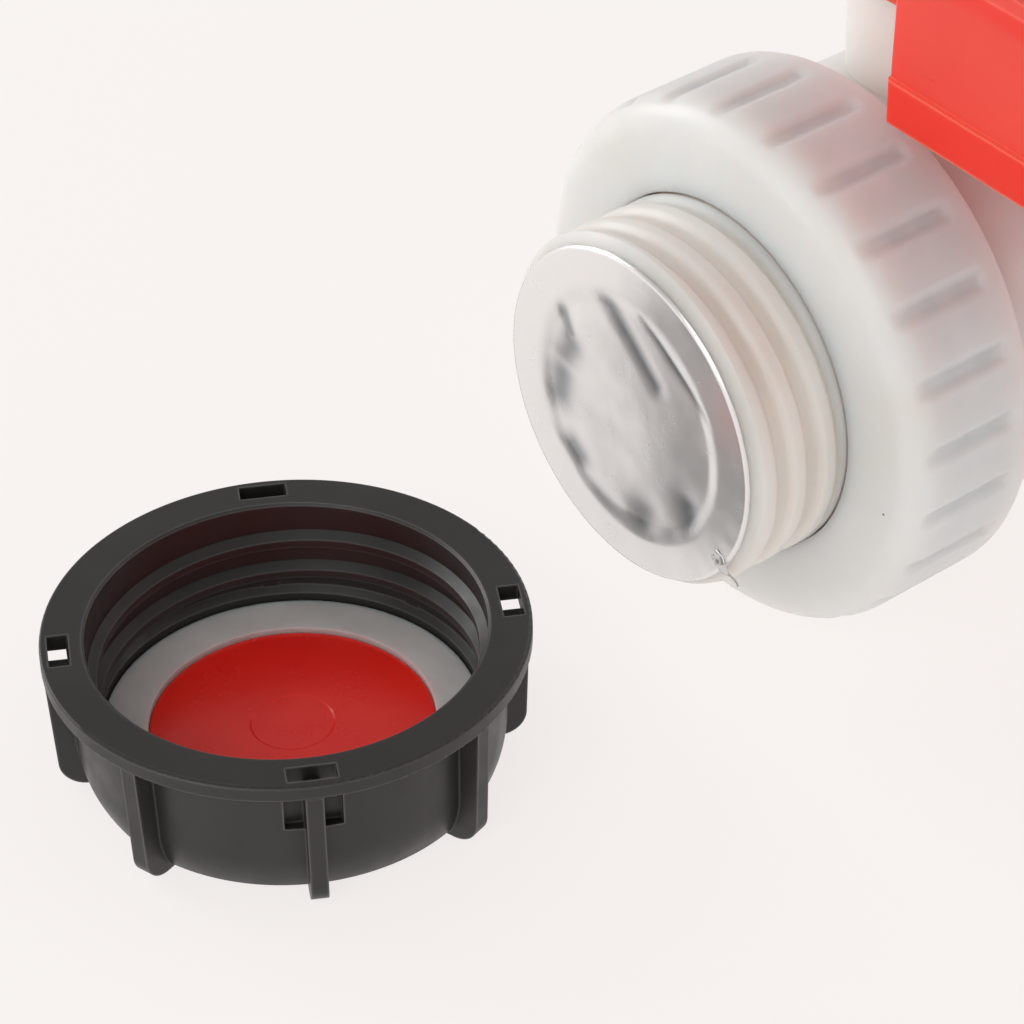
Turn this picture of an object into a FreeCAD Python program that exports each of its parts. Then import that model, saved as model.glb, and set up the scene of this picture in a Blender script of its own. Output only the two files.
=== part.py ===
import FreeCAD, Part
import math
import os

V = FreeCAD.Vector

# A 50 mm tank outlet ball valve: a moulded body with a screwed inlet socket, a quarter-turn
# ball on a vertical stem, a spout held on by a union nut, a foil seal over the spout's mouth,
# and the dust cap that goes with it standing in front, open side up.
#
# Axes: Y is the flow axis, with the tank at +Y and the outlet at -Y; Z is the stem.
# The origin is the centre of the inlet socket's mouth, on the flow axis. Millimetres.
# Places along the flow axis are "reaches": distances from the ball's centre to the outlet side.

# ---- waterway, ball and seats
bore_radius = 22.3
ball_radius = 31.0
ball_slot_web = 3.2
ball_slot_width = 8.2
seat_land = 2.5
seat_back_wall = 3.0
seat_clearance = 0.25
seat_groove_depth = 2.5
seat_ring_section = 1.22
bench_gap = 0.1
o_ring_sides = 8
over_cut = 1.0

# ---- body
cavity_clearance = 1.0
body_wall = 5.7
union_thread_height = 2.3
union_thread_length = 16.0
inlet_neck_length = 8.0
inlet_thread_radius = 37.5
inlet_socket_depth = 26.0
inlet_socket_wall = 6.84
socket_flats = 8
socket_corner_relief = 1.4
socket_shoulder = 6.0
mouth_chamfer = 1.2
gasket_thickness = 3.0
gasket_pocket_step = 0.8
gasket_rim_gap = 0.3

# ---- seat carrier
carrier_length = 14.5
carrier_clearance = 0.3
carrier_setback = 0.5
carrier_ring_section = 1.0
carrier_ring_place = 5.5
carrier_notches = 4
carrier_notch_width = 6.0
carrier_notch_depth = 3.0

# ---- spout and foil
spout_thread_radius = 29.65
spout_neck_relief = 0.35
spout_mouth_taper = 1.95
spout_lead_in = 2.0
spout_reach = 18.7
collar_gap = 0.4
collar_thickness = 5.6
collar_clearance = 0.7
face_ring_section = 1.33
face_ring_groove = 2.3
foil_thickness = 0.3

# ---- union nut
nut_wall = 4.04
nut_length = 25.3
nut_front_wall = 5.1
nut_shoulder_round = 5.0
nut_face_fall = 0.8
nut_grooves = 24
nut_groove_width = 3.0
nut_groove_depth = 1.5
nut_groove_start = 0.6
nut_rim = 3.5
thread_clearance = 0.3
nut_hole_clearance = 0.35

# ---- stem and tower
tower_wall = 5.4
tower_gap = 0.56
stem_radius = 9.0
stem_clearance = 0.08
stem_foot_step = 4.0
stem_foot_height = 5.0
stem_foot_gap = 0.6
stem_pocket_clearance = 0.3
tongue_clearance = 0.3
tongue_length = 25.0
thrust_washer_height = 1.5
thrust_washer_bore_gap = 0.3
stem_ring_section = 1.05
stem_flat_cut = 2.8
square_clearance = 0.1

# ---- handle
handle_reach = 118.0
handle_root = 15.6
handle_half_width = 34.4
handle_root_half_width = 32.7
handle_height = 30.0
handle_nut_clearance = 1.32
handle_wall = 2.6
handle_top = 2.8
handle_draft = 0.6
handle_root_corner = 1.2
handle_shoulder = 52.0
handle_taper_length = 50.0
handle_end_half_width = 25.0
handle_edge = 1.4
lever_least_corner = 0.6
lip_height = 7.3
lip_step = 0.5
web_offset = 10.5
web_thickness = 2.0
rib_depth = 8.0
cross_ribs = 3
hub_wall = 3.3
hub_step = 11.7
hub_tower_clearance = 1.2
stop_track_depth = 4.0
stop_rim = 0.5
stop_width = 5.0
stop_tab_angle = 30.0
stop_lug_angle = 30.0
stop_lug_height = 3.4
stop_end_gap = 0.8
stop_track_clearance = 0.4
quarter_turn = 90.0
plug_well_radius = 11.0
plug_well_depth = 6.7
plug_thickness = 1.6
plug_clearance = 0.15
plug_skirt_height = 1.0
plug_skirt_wall = 1.2
plug_edge = 0.5
washer_rim_gap = 2.0
washer_thickness = 1.5
screw_radius = 3.0
screw_head_radius = 5.5
screw_head_height = 3.2
screw_length = 20.0
screw_clearance = 0.06
screw_point_step = 0.6
screw_point_length = 0.8
screw_recess_reach = 2.6
screw_recess_half_width = 0.5

# ---- dust cap
cap_height = 25.5
cap_thread_clearance = 1.08
cap_wall = 3.0
cap_flange_width = 3.77
cap_foot_taper = 2.33
cap_foot_round = 7.5
cap_foot_bevel = 1.4
cap_foot_lift = 1.0
cap_bowl_draft = 0.4
cap_bowl_bulge = 0.4
cap_floor = 4.0
cap_flange = 2.8
cap_edge_round = 0.4
cap_seat_step = 1.13
cap_seat_height = 8.5
cap_seat_slope = 1.0
cap_fins = 8
cap_fin_thickness = 2.7
cap_fin_fall = 1.0
cap_fin_round = 4.5
cap_fin_set_back = 0.2
cap_fin_root = 2.0
cap_slots = 4
cap_slot_length = 7.4
cap_slot_width = 3.2
cap_slot_inset = 2.9
cap_window_width = 8.8
cap_window_height = 8.8
cap_window_depth = 2.0
cap_gasket_clearance = 0.3
cap_gasket_height = 3.2
cap_gasket_width = 7.0
cap_disc_height = 2.4
cap_disc_clearance = 0.1
cap_disc_edge = 0.3
cap_disc_mark = 0.3
cap_disc_mark_depth = 0.15
cap_spout_gap = 20.0
cap_side_place = -11.87
cap_turn = 60.0

# ---- sizes that follow from the ones above
cavity_radius = ball_radius + cavity_clearance
ball_slot_floor = bore_radius + ball_slot_web
barrel_radius = cavity_radius + body_wall
union_thread_radius = barrel_radius + union_thread_height
nut_bore_radius = union_thread_radius + thread_clearance
nut_radius = nut_bore_radius + nut_wall
socket_apothem = max(nut_radius, inlet_thread_radius + inlet_socket_wall)
rest_level = -socket_apothem

seat_sphere = ball_radius + seat_clearance
seat_land_radius = bore_radius + seat_land
seat_inner_reach = math.sqrt(seat_sphere ** 2 - bore_radius ** 2)
seat_front_reach = math.sqrt(seat_sphere ** 2 - seat_land_radius ** 2)
seat_back_reach = seat_inner_reach + seat_back_wall
seat_rim_radius = cavity_radius - carrier_clearance
seat_step_reach = seat_back_reach + bench_gap
seat_ring_radius = 0.5 * (bore_radius + seat_rim_radius)

carrier_front_reach = seat_step_reach + carrier_length
body_front_reach = carrier_front_reach + carrier_setback
collar_back_reach = body_front_reach + collar_gap
collar_front_reach = collar_back_reach + collar_thickness
nut_seat_reach = collar_front_reach + bench_gap
nut_face_reach = nut_seat_reach + nut_front_wall
nut_back_reach = nut_face_reach - nut_length
spout_end_reach = nut_face_reach + spout_reach
socket_floor_reach = seat_step_reach + inlet_neck_length
inlet_mouth_reach = socket_floor_reach + inlet_socket_depth
gasket_pocket_radius = inlet_thread_radius - gasket_pocket_step
stem_y = -inlet_mouth_reach
spout_mouth_radius = spout_thread_radius - spout_mouth_taper
face_ring_radius = 0.5 * (cavity_radius + union_thread_radius)

stem_foot_radius = stem_radius + stem_foot_step
stem_square = 2 * (stem_radius - stem_flat_cut)
tower_radius = stem_foot_radius + stem_pocket_clearance + tower_wall
hub_radius = tower_radius + hub_wall
stop_outer_radius = tower_radius - stop_rim
stop_inner_radius = stop_outer_radius - stop_width
washer_radius = plug_well_radius - washer_rim_gap

handle_bottom = nut_radius + handle_nut_clearance
handle_crown = handle_bottom + handle_height
hub_bottom = handle_bottom + hub_step
tower_top = hub_bottom - tower_gap
foot_bottom = ball_radius + stem_foot_gap
foot_top = foot_bottom + stem_foot_height
washer_bottom = foot_top + 0.5 * bench_gap
pocket_roof = washer_bottom + thrust_washer_height + 0.5 * bench_gap
stem_shoulder = hub_bottom - bench_gap
well_floor = handle_crown - plug_well_depth
square_top = well_floor - 2 * bench_gap
ring_pitch = (tower_top - pocket_roof) / 3

cap_mouth_radius = spout_thread_radius + cap_thread_clearance
cap_wall_radius = cap_mouth_radius + cap_wall
cap_rim_radius = cap_wall_radius + cap_flange_width
cap_foot_radius = cap_wall_radius - cap_foot_taper
cap_seat_radius = cap_mouth_radius - cap_seat_step
cap_gasket_radius = cap_seat_radius - cap_gasket_clearance
cap_disc_radius = cap_gasket_radius - cap_gasket_width - cap_disc_clearance
cap_slot_radius = cap_rim_radius - cap_slot_inset
cap_under_flange = cap_height - cap_flange
cap_x = cap_side_place
cap_y = stem_y - spout_end_reach - cap_spout_gap - cap_rim_radius


# ---- shapes
def wire_of(corners, place):
    """Closed wire through (along, out) corners; ((mid), (end)) is an arc to the end."""
    edges = []
    last = corners[0]
    for item in corners[1:] + [corners[0]]:
        if isinstance(item[0], tuple):
            middle, end = item
            edges.append(Part.Arc(place(*last), place(*middle), place(*end)).toShape())
            last = end
        elif item != last:
            edges.append(Part.makeLine(place(*last), place(*item)))
            last = item
    return Part.Wire(edges)


def arc_about(centre, radius, angle):
    """Point of an arc, as (along, out), at an angle in degrees from the along axis."""
    turn = math.radians(angle)
    return (centre[0] + radius * math.cos(turn), centre[1] + radius * math.sin(turn))


def flow_lathe(corners):
    """Solid turned about the flow axis from (reach, radius) corners."""
    wire = wire_of(corners, lambda reach, radius: V(radius, stem_y - reach, 0))
    return Part.Face(wire).revolve(V(0, 0, 0), V(0, 1, 0), 360)


def stem_lathe(corners):
    """Solid turned about the stem axis from (height, radius) corners."""
    wire = wire_of(corners, lambda height, radius: V(radius, stem_y, height))
    return Part.Face(wire).revolve(V(0, stem_y, 0), V(0, 0, 1), 360)


def cap_lathe(corners):
    """Solid turned about the cap's axis from (height above its foot, radius) corners."""
    wire = wire_of(corners, lambda height, radius: V(cap_x + radius, cap_y, rest_level + height))
    return Part.Face(wire).revolve(V(cap_x, cap_y, 0), V(0, 0, 1), 360)


def flow_tube(inner, outer, low, high):
    """Plain ring about the flow axis between two reaches."""
    return flow_lathe([(low, inner), (low, outer), (high, outer), (high, inner)])


def flow_rod(radius, low, high):
    """Plain rod on the flow axis between two reaches."""
    return Part.makeCylinder(radius, high - low, V(0, stem_y - high, 0), V(0, 1, 0))


def stem_rod(radius, low, high):
    """Plain rod on the stem axis between two heights."""
    return Part.makeCylinder(radius, high - low, V(0, stem_y, low), V(0, 0, 1))


def box(x, y, z):
    """Box between pairs of limits, with y counted from the stem axis."""
    corner = V(x[0], stem_y + y[0], z[0])
    return Part.makeBox(x[1] - x[0], y[1] - y[0], z[1] - z[0], corner)


def ring_section(centre, section):
    """Corners of an O-ring's section, round enough at this size with few faces."""
    return [arc_about(centre, section, 360.0 * index / o_ring_sides) for index in range(o_ring_sides)]


def flow_o_ring(radius, section, reach):
    """O-ring about the flow axis."""
    return flow_lathe(ring_section((reach, radius), section))


def sector(inner, outer, low, high, start, sweep):
    """Piece of a ring about the stem, from a start angle through a sweep, both in degrees."""
    ring = stem_rod(outer, low, high).cut(stem_rod(inner, low - over_cut, high + over_cut))
    wedge = Part.makeCylinder(2 * outer, high - low, V(0, 0, 0), V(0, 0, 1), sweep)
    wedge.rotate(V(0, 0, 0), V(0, 0, 1), start)
    wedge.translate(V(0, stem_y, low))
    return ring.common(wedge)


def around(shape, count, centre, axis):
    """The shape and its copies evenly spaced about an axis, joined in one compound."""
    copies = []
    for index in range(count):
        copy = shape.copy()
        copy.rotate(centre, axis, 360.0 * index / count)
        copies.append(copy)
    return Part.makeCompound(copies)


# ---- body
def make_valve_body():
    """Barrel with its union thread, the stem tower with stop lugs, and the flatted socket."""
    neck_end = -socket_floor_reach + 2 * socket_shoulder
    shoulder_end = neck_end - socket_shoulder
    barrel = flow_lathe([
        (body_front_reach, 0),
        (body_front_reach, union_thread_radius - mouth_chamfer),
        (body_front_reach - mouth_chamfer, union_thread_radius),
        (body_front_reach - union_thread_length, union_thread_radius),
        (body_front_reach - union_thread_length - mouth_chamfer, barrel_radius),
        (neck_end, barrel_radius),
        (shoulder_end, socket_apothem - mouth_chamfer),
        (-inlet_mouth_reach + socket_shoulder, socket_apothem - mouth_chamfer),
        (-inlet_mouth_reach + socket_shoulder, 0),
    ])
    corner_radius = socket_apothem / math.cos(math.pi / socket_flats)
    relief_radius = corner_radius - socket_corner_relief
    corners = []
    for index in range(socket_flats + 1):
        turn = 2 * math.pi * (index + 0.5) / socket_flats
        corners.append(V(corner_radius * math.cos(turn), 0, corner_radius * math.sin(turn)))
    flats = Part.Face(Part.makePolygon(corners)).extrude(V(0, shoulder_end + inlet_mouth_reach, 0))
    flats.translate(V(0, stem_y - shoulder_end, 0))
    turned = flow_lathe([
        (shoulder_end, 0),
        (shoulder_end, socket_apothem - mouth_chamfer),
        (shoulder_end - 2 * mouth_chamfer, relief_radius),
        (-inlet_mouth_reach + 2 * mouth_chamfer, relief_radius),
        (-inlet_mouth_reach, socket_apothem),
        (-inlet_mouth_reach, 0),
    ])
    tower = stem_rod(tower_radius, 0, tower_top)
    shell = barrel.fuse([flats.common(turned), tower])
    waterway = flow_lathe([
        (body_front_reach + over_cut, 0),
        (body_front_reach + over_cut, cavity_radius),
        (-seat_step_reach, cavity_radius),
        (-seat_step_reach, bore_radius),
        (-socket_floor_reach, bore_radius),
        (-socket_floor_reach, gasket_pocket_radius),
        (-socket_floor_reach - gasket_thickness, gasket_pocket_radius),
        (-socket_floor_reach - gasket_thickness, inlet_thread_radius),
        (-inlet_mouth_reach - over_cut, inlet_thread_radius),
        (-inlet_mouth_reach - over_cut, 0),
    ])
    pocket = stem_rod(stem_foot_radius + stem_pocket_clearance, 0.5 * ball_radius, pocket_roof)
    stem_hole = stem_rod(stem_radius + stem_clearance, 0.5 * ball_radius, tower_top + over_cut)
    shell = shell.cut([waterway, pocket, stem_hole])
    half_tab = 0.5 * stop_tab_angle
    lug_span = (tower_top - over_cut, tower_top + stop_lug_height)
    closed_lug = sector(stop_inner_radius, stop_outer_radius, *lug_span,
                        180 + half_tab + stop_end_gap, stop_lug_angle)
    open_start = 180 - quarter_turn - half_tab - stop_end_gap - stop_lug_angle
    open_lug = sector(stop_inner_radius, stop_outer_radius, *lug_span, open_start, stop_lug_angle)
    return shell.fuse([closed_lug, open_lug]).removeSplitter()


def make_inlet_gasket():
    """Flat gasket at the bottom of the inlet socket."""
    low = -socket_floor_reach - gasket_thickness
    return flow_tube(bore_radius + gasket_rim_gap, gasket_pocket_radius - gasket_rim_gap,
                     low, -socket_floor_reach)


# ---- ball, seats and their carrier
def make_ball():
    """Bored ball in its closed turn, with the open-ended slot that takes the stem's tongue."""
    sphere = Part.makeSphere(ball_radius, V(0, stem_y, 0))
    half_bore = ball_radius + over_cut
    bore = Part.makeCylinder(bore_radius, 2 * half_bore, V(-half_bore, stem_y, 0), V(1, 0, 0))
    half_slot = 0.5 * ball_slot_width
    slot = box((-half_slot, half_slot), (-ball_radius, ball_radius),
               (ball_slot_floor, ball_radius + over_cut))
    return sphere.cut([bore, slot])


def make_outlet_seat():
    """Seat ring with a ball-shaped land and a groove at the back for its round ring."""
    middle_angle = 0.5 * (math.atan2(bore_radius, seat_inner_reach)
                          + math.atan2(seat_land_radius, seat_front_reach))
    middle = (seat_sphere * math.cos(middle_angle), seat_sphere * math.sin(middle_angle))
    groove_floor = seat_back_reach - seat_groove_depth
    groove_in = seat_ring_radius - seat_ring_section - bench_gap
    groove_out = seat_ring_radius + seat_ring_section + bench_gap
    return flow_lathe([
        (seat_inner_reach, bore_radius),
        (middle, (seat_front_reach, seat_land_radius)),
        (seat_front_reach, seat_rim_radius),
        (seat_back_reach, seat_rim_radius),
        (seat_back_reach, groove_out),
        (groove_floor, groove_out),
        (groove_floor, groove_in),
        (seat_back_reach, groove_in),
        (seat_back_reach, bore_radius),
    ])


def make_outlet_seat_ring():
    """Round ring behind the outlet seat."""
    reach = seat_back_reach - 0.5 * (seat_groove_depth - bench_gap)
    return flow_o_ring(seat_ring_radius, seat_ring_section, reach)


def inlet_side(shape):
    """The same piece on the inlet side of the ball."""
    return shape.mirror(V(0, stem_y, 0), V(0, 1, 0))


def make_seat_carrier():
    """Screwed ring that holds the outlet seat, with driving notches in its front face."""
    radius = cavity_radius - carrier_clearance
    ring = flow_tube(bore_radius, radius, seat_step_reach, carrier_front_reach)
    groove_reach = seat_step_reach + carrier_ring_place
    half_groove = carrier_ring_section + 2 * bench_gap
    groove_floor = cavity_radius - bench_gap - 2 * carrier_ring_section
    groove = flow_tube(groove_floor - bench_gap, radius + over_cut, groove_reach - half_groove,
                       groove_reach + half_groove)
    notch = box((0.5 * bore_radius, cavity_radius + over_cut),
                (-carrier_front_reach - over_cut, carrier_notch_depth - carrier_front_reach),
                (-0.5 * carrier_notch_width, 0.5 * carrier_notch_width))
    notches = around(notch, carrier_notches, V(0, 0, 0), V(0, 1, 0))
    return ring.cut([groove, notches])


def make_carrier_ring():
    """Round ring that seals the carrier in the barrel."""
    radius = cavity_radius - bench_gap - carrier_ring_section
    return flow_o_ring(radius, carrier_ring_section, seat_step_reach + carrier_ring_place)


# ---- spout, foil and union nut
def make_outlet_spout():
    """Threaded spout with the collar that the union nut pulls against the body."""
    end = spout_end_reach - foil_thickness
    collar_radius = nut_bore_radius - collar_clearance
    tube = flow_lathe([
        (end, bore_radius),
        (end, spout_mouth_radius),
        (end - spout_lead_in, spout_thread_radius),
        (nut_face_reach, spout_thread_radius),
        (nut_face_reach, spout_thread_radius - spout_neck_relief),
        (collar_front_reach, spout_thread_radius - spout_neck_relief),
        (collar_front_reach, collar_radius - mouth_chamfer),
        (collar_front_reach - mouth_chamfer, collar_radius),
        (collar_back_reach, collar_radius),
        (collar_back_reach, bore_radius),
    ])
    half_groove = face_ring_section + 2 * bench_gap
    groove = flow_tube(face_ring_radius - half_groove, face_ring_radius + half_groove,
                       collar_back_reach - over_cut, collar_back_reach + face_ring_groove)
    return tube.cut(groove)


def make_foil_seal():
    """Foil disc sealed over the spout's mouth."""
    return flow_rod(spout_mouth_radius, spout_end_reach - foil_thickness, spout_end_reach)


def make_spout_ring():
    """Round ring between the spout's collar and the body's end face."""
    reach = collar_back_reach + face_ring_groove - face_ring_section
    return flow_o_ring(face_ring_radius, face_ring_section, reach)


def make_union_nut():
    """Union nut: near-flat front face, rounded shoulder, grooved barrel and a plain rim."""
    hole_radius = spout_thread_radius + nut_hole_clearance
    shoulder_reach = nut_face_reach - nut_face_fall
    centre = (shoulder_reach - nut_shoulder_round, nut_radius - nut_shoulder_round)
    shell = flow_lathe([
        (nut_face_reach, hole_radius),
        arc_about(centre, nut_shoulder_round, 0),
        (arc_about(centre, nut_shoulder_round, 45), arc_about(centre, nut_shoulder_round, 90)),
        (nut_back_reach + mouth_chamfer, nut_radius),
        (nut_back_reach, nut_radius - mouth_chamfer),
        (nut_back_reach, nut_bore_radius),
        (nut_seat_reach, nut_bore_radius),
        (nut_seat_reach, hole_radius),
    ])
    floor = nut_radius - nut_groove_depth
    half = 0.5 * nut_groove_width
    groove = box((-half, half),
                 (nut_groove_start - nut_face_reach, -nut_back_reach - nut_rim),
                 (floor, nut_radius + over_cut))
    return shell.cut(around(groove, nut_grooves, V(0, 0, 0), V(0, 1, 0)))


# ---- stem
def stem_ring_height(index):
    """Height of the lower (1) or upper (2) round ring on the stem."""
    return pocket_roof + ring_pitch * index


def make_stem():
    """Stem with a tongue in the ball, a foot that can't blow out, two grooves and a square."""
    bore = stem_radius + stem_clearance
    shaft = stem_lathe([
        (foot_bottom, 0),
        (foot_bottom, stem_foot_radius),
        (foot_top, stem_foot_radius),
        (foot_top, stem_radius),
        (stem_shoulder, stem_radius),
        (stem_shoulder, 0),
    ])
    groove_floor = bore - 2 * stem_ring_section - 2 * bench_gap
    half_groove = stem_ring_section + bench_gap
    grooves = []
    for index in (1, 2):
        height = stem_ring_height(index)
        blank = stem_rod(stem_radius + over_cut, height - half_groove, height + half_groove)
        grooves.append(blank.cut(stem_rod(groove_floor, foot_top, stem_shoulder)))
    half_tongue = 0.5 * ball_slot_width - tongue_clearance
    tongue = box((-half_tongue, half_tongue), (-0.5 * tongue_length, 0.5 * tongue_length),
                 (ball_slot_floor + tongue_clearance, foot_bottom + over_cut))
    tongue = tongue.common(stem_rod(stem_foot_radius, 0, foot_bottom + over_cut))
    half_square = 0.5 * stem_square
    square = box((-half_square, half_square), (-half_square, half_square),
                 (stem_shoulder - over_cut, square_top))
    square = square.common(stem_rod(stem_radius - bench_gap, 0, square_top))
    screw_top = well_floor + washer_thickness
    screw_hole = stem_rod(screw_radius + screw_clearance, screw_top - screw_length - over_cut,
                          square_top + over_cut)
    return shaft.cut(grooves).fuse([tongue, square]).cut(screw_hole)


def make_stem_ring(index):
    """Round ring in one of the stem's grooves."""
    centre = (stem_ring_height(index), stem_radius - bench_gap - stem_ring_section)
    return stem_lathe(ring_section(centre, stem_ring_section))


def make_thrust_washer():
    """Low-friction washer between the stem's foot and the body."""
    washer = stem_rod(stem_foot_radius, washer_bottom, washer_bottom + thrust_washer_height)
    return washer.cut(stem_rod(stem_radius + thrust_washer_bore_gap, 0, handle_crown))


# ---- handle
def lever_outline(inset, height):
    """Outline of the lever at one height: straight sides, curved taper and a round end.

    The lip stands proud of the sides and the tip, and is flush at the root.
    """
    left = handle_root + max(inset - lip_step, 0.0)
    tip = handle_reach - inset
    half = handle_half_width - inset
    root_half = handle_root_half_width - inset
    end_half = handle_end_half_width - inset
    root_corner = max(handle_root_corner - inset, lever_least_corner)
    taper_end = handle_shoulder + handle_taper_length
    fall = half - end_half
    sweep_radius = (handle_taper_length ** 2 + fall ** 2) / (2 * fall)
    half_sweep = 0.5 * math.asin(handle_taper_length / sweep_radius)
    sweep_x = handle_shoulder + sweep_radius * math.sin(half_sweep)
    sweep_y = half - sweep_radius * (1 - math.cos(half_sweep))
    corner_cut = root_corner * (1 - math.sqrt(0.5))

    def place(x, y):
        return V(x, stem_y + y, height)

    return wire_of([
        (left + root_corner, -root_half),
        (handle_shoulder, -half),
        ((sweep_x, -sweep_y), (taper_end, -end_half)),
        ((tip, 0), (taper_end, end_half)),
        ((sweep_x, sweep_y), (handle_shoulder, half)),
        (left + root_corner, root_half),
        ((left + corner_cut, root_half - corner_cut), (left, root_half - root_corner)),
        (left, -root_half + root_corner),
        ((left + corner_cut, -root_half + corner_cut), (left + root_corner, -root_half)),
    ], place)


def lever_block(low_inset, high_inset, low, high):
    """Tapered block between two insets of the lever's outline."""
    wires = [lever_outline(low_inset, low), lever_outline(high_inset, high)]
    return Part.makeLoft(wires, True, True)


def hub_bridge(length):
    """Flat-sided arm from the stem towards the lever, with the lever's edge along its top."""
    shoulder = handle_crown - handle_edge
    corners = [
        (hub_bottom, -hub_radius),
        (hub_bottom, hub_radius),
        (shoulder, hub_radius),
        (handle_crown, hub_radius - handle_edge),
        (handle_crown, handle_edge - hub_radius),
        (shoulder, -hub_radius),
    ]
    wire = wire_of(corners, lambda height, across: V(0, stem_y + across, height))
    return Part.Face(wire).extrude(V(length, 0, 0))


def make_handle():
    """Lever moulded as a ribbed tray with a proud lip, joined to the hub over the tower."""
    top_inset = lip_step + handle_draft
    shoulder = handle_crown - handle_edge
    panel = lever_block(lip_step, top_inset, handle_bottom, shoulder)
    edge = lever_block(top_inset, top_inset + handle_edge, shoulder, handle_crown)
    lip = lever_block(0, 0, handle_bottom, handle_bottom + lip_height)
    ceiling = handle_crown - handle_top
    inner_low = handle_wall + lip_step
    hollow = lever_block(inner_low, inner_low + handle_draft, handle_bottom - over_cut, ceiling)
    tray = panel.fuse([edge, lip]).cut(hollow)
    inner_left = handle_root + handle_wall
    inner_right = handle_reach - 2 * handle_wall
    ribs = []
    for side in (-1, 1):
        middle = side * web_offset
        ribs.append(box((inner_left, inner_right),
                        (middle - 0.5 * web_thickness, middle + 0.5 * web_thickness),
                        (ceiling - rib_depth, ceiling + over_cut)))
    pitch = (inner_right - inner_left) / (cross_ribs + 1)
    for index in range(cross_ribs):
        middle = inner_left + pitch * (index + 1)
        half = handle_half_width
        ribs.append(box((middle - 0.5 * web_thickness, middle + 0.5 * web_thickness), (-half, half),
                        (ceiling - rib_depth, ceiling + over_cut)))
    hub = stem_lathe([
        (hub_bottom, 0),
        (hub_bottom, hub_radius),
        (shoulder, hub_radius),
        (handle_crown, hub_radius - handle_edge),
        (handle_crown, 0),
    ])
    within_walls = lever_block(handle_wall, handle_wall + handle_draft, handle_bottom, shoulder)
    ribs = [rib.common(within_walls) for rib in ribs]
    body = tray.fuse([hub, hub_bridge(inner_left + handle_edge)] + ribs)
    tower_room = stem_rod(tower_radius + hub_tower_clearance, handle_bottom - over_cut, hub_bottom)
    track_top = hub_bottom + stop_track_depth
    track = stem_rod(stop_outer_radius + stop_track_clearance, hub_bottom - over_cut, track_top)
    track = track.cut(stem_rod(stop_inner_radius - stop_track_clearance, 0, handle_crown))
    half_square = 0.5 * stem_square + square_clearance
    square = box((-half_square, half_square), (-half_square, half_square),
                 (hub_bottom - over_cut, handle_crown))
    square = square.common(stem_rod(stem_radius, 0, handle_crown))
    well = stem_rod(plug_well_radius, well_floor, handle_crown + over_cut)
    body = body.cut([tower_room, track, square, well])
    tab = sector(stop_inner_radius - over_cut, stop_outer_radius + over_cut, hub_bottom + bench_gap,
                 track_top + 0.5 * over_cut, 180 - 0.5 * stop_tab_angle, stop_tab_angle)
    return body.fuse(tab).removeSplitter()


def make_handle_washer():
    """Washer under the screw's head, seated on the hub's floor."""
    washer = stem_rod(washer_radius, well_floor, well_floor + washer_thickness)
    return washer.cut(stem_rod(screw_radius + 2 * screw_clearance, 0, handle_crown))


def make_handle_screw():
    """Pan-head screw down the stem, with a cross recess."""
    head_seat = well_floor + washer_thickness
    crown = (head_seat + screw_head_height, 0)
    screw = stem_lathe([
        (head_seat - screw_length, 0),
        (head_seat - screw_length, screw_radius - screw_point_step),
        (head_seat - screw_length + screw_point_length, screw_radius),
        (head_seat, screw_radius),
        (head_seat, screw_head_radius),
        ((head_seat + 0.8 * screw_head_height, 0.72 * screw_head_radius), crown),
    ])
    recess_floor = head_seat + 0.4 * screw_head_height
    blades = []
    reach, half = screw_recess_reach, screw_recess_half_width
    for along, across in ((reach, half), (half, reach)):
        blades.append(box((-along, along), (-across, across), (recess_floor, handle_crown)))
    return screw.cut(blades)


def make_handle_plug():
    """Snap-in cover over the screw's well, flush with the hub."""
    radius = plug_well_radius - plug_clearance
    skirt_low = handle_crown - plug_thickness - plug_skirt_height
    plug = stem_lathe([
        (handle_crown, 0),
        (handle_crown, radius - plug_edge),
        (handle_crown - plug_edge, radius),
        (skirt_low, radius),
        (skirt_low, radius - plug_skirt_wall),
        (handle_crown - plug_thickness, radius - plug_skirt_wall),
        (handle_crown - plug_thickness, 0),
    ])
    return plug


# ---- dust cap
def cap_turned(shape, angle):
    """A copy of the shape turned about the cap's axis."""
    copy = shape.copy()
    copy.rotate(V(cap_x, cap_y, 0), V(0, 0, 1), angle)
    return copy


def cap_box(out, across, height):
    """Box by limits outward from the cap's axis, across, and above its foot."""
    corner = V(cap_x + out[0], cap_y + across[0], rest_level + height[0])
    return Part.makeBox(out[1] - out[0], across[1] - across[0], height[1] - height[0], corner)


def make_cap_fin():
    """One grip fin: a plate with an almost upright outer edge and a rounded toe."""
    outer_low = cap_rim_radius - cap_fin_fall
    diagonal = math.sqrt(0.5)
    centre = (cap_fin_round, outer_low - cap_fin_round)
    toe = (centre[0] - cap_fin_round * diagonal, centre[1] + cap_fin_round * diagonal)
    corners = [
        (cap_under_flange, cap_mouth_radius + 0.5 * cap_wall),
        (cap_under_flange, cap_rim_radius - cap_fin_set_back),
        (cap_fin_round, outer_low),
        (toe, (0, centre[1])),
        (0, cap_foot_radius - cap_fin_root),
    ]
    half = 0.5 * cap_fin_thickness

    def place(height, radius):
        return V(cap_x + radius, cap_y - half, rest_level + height)

    return Part.Face(wire_of(corners, place)).extrude(V(0, cap_fin_thickness, 0))


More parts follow.
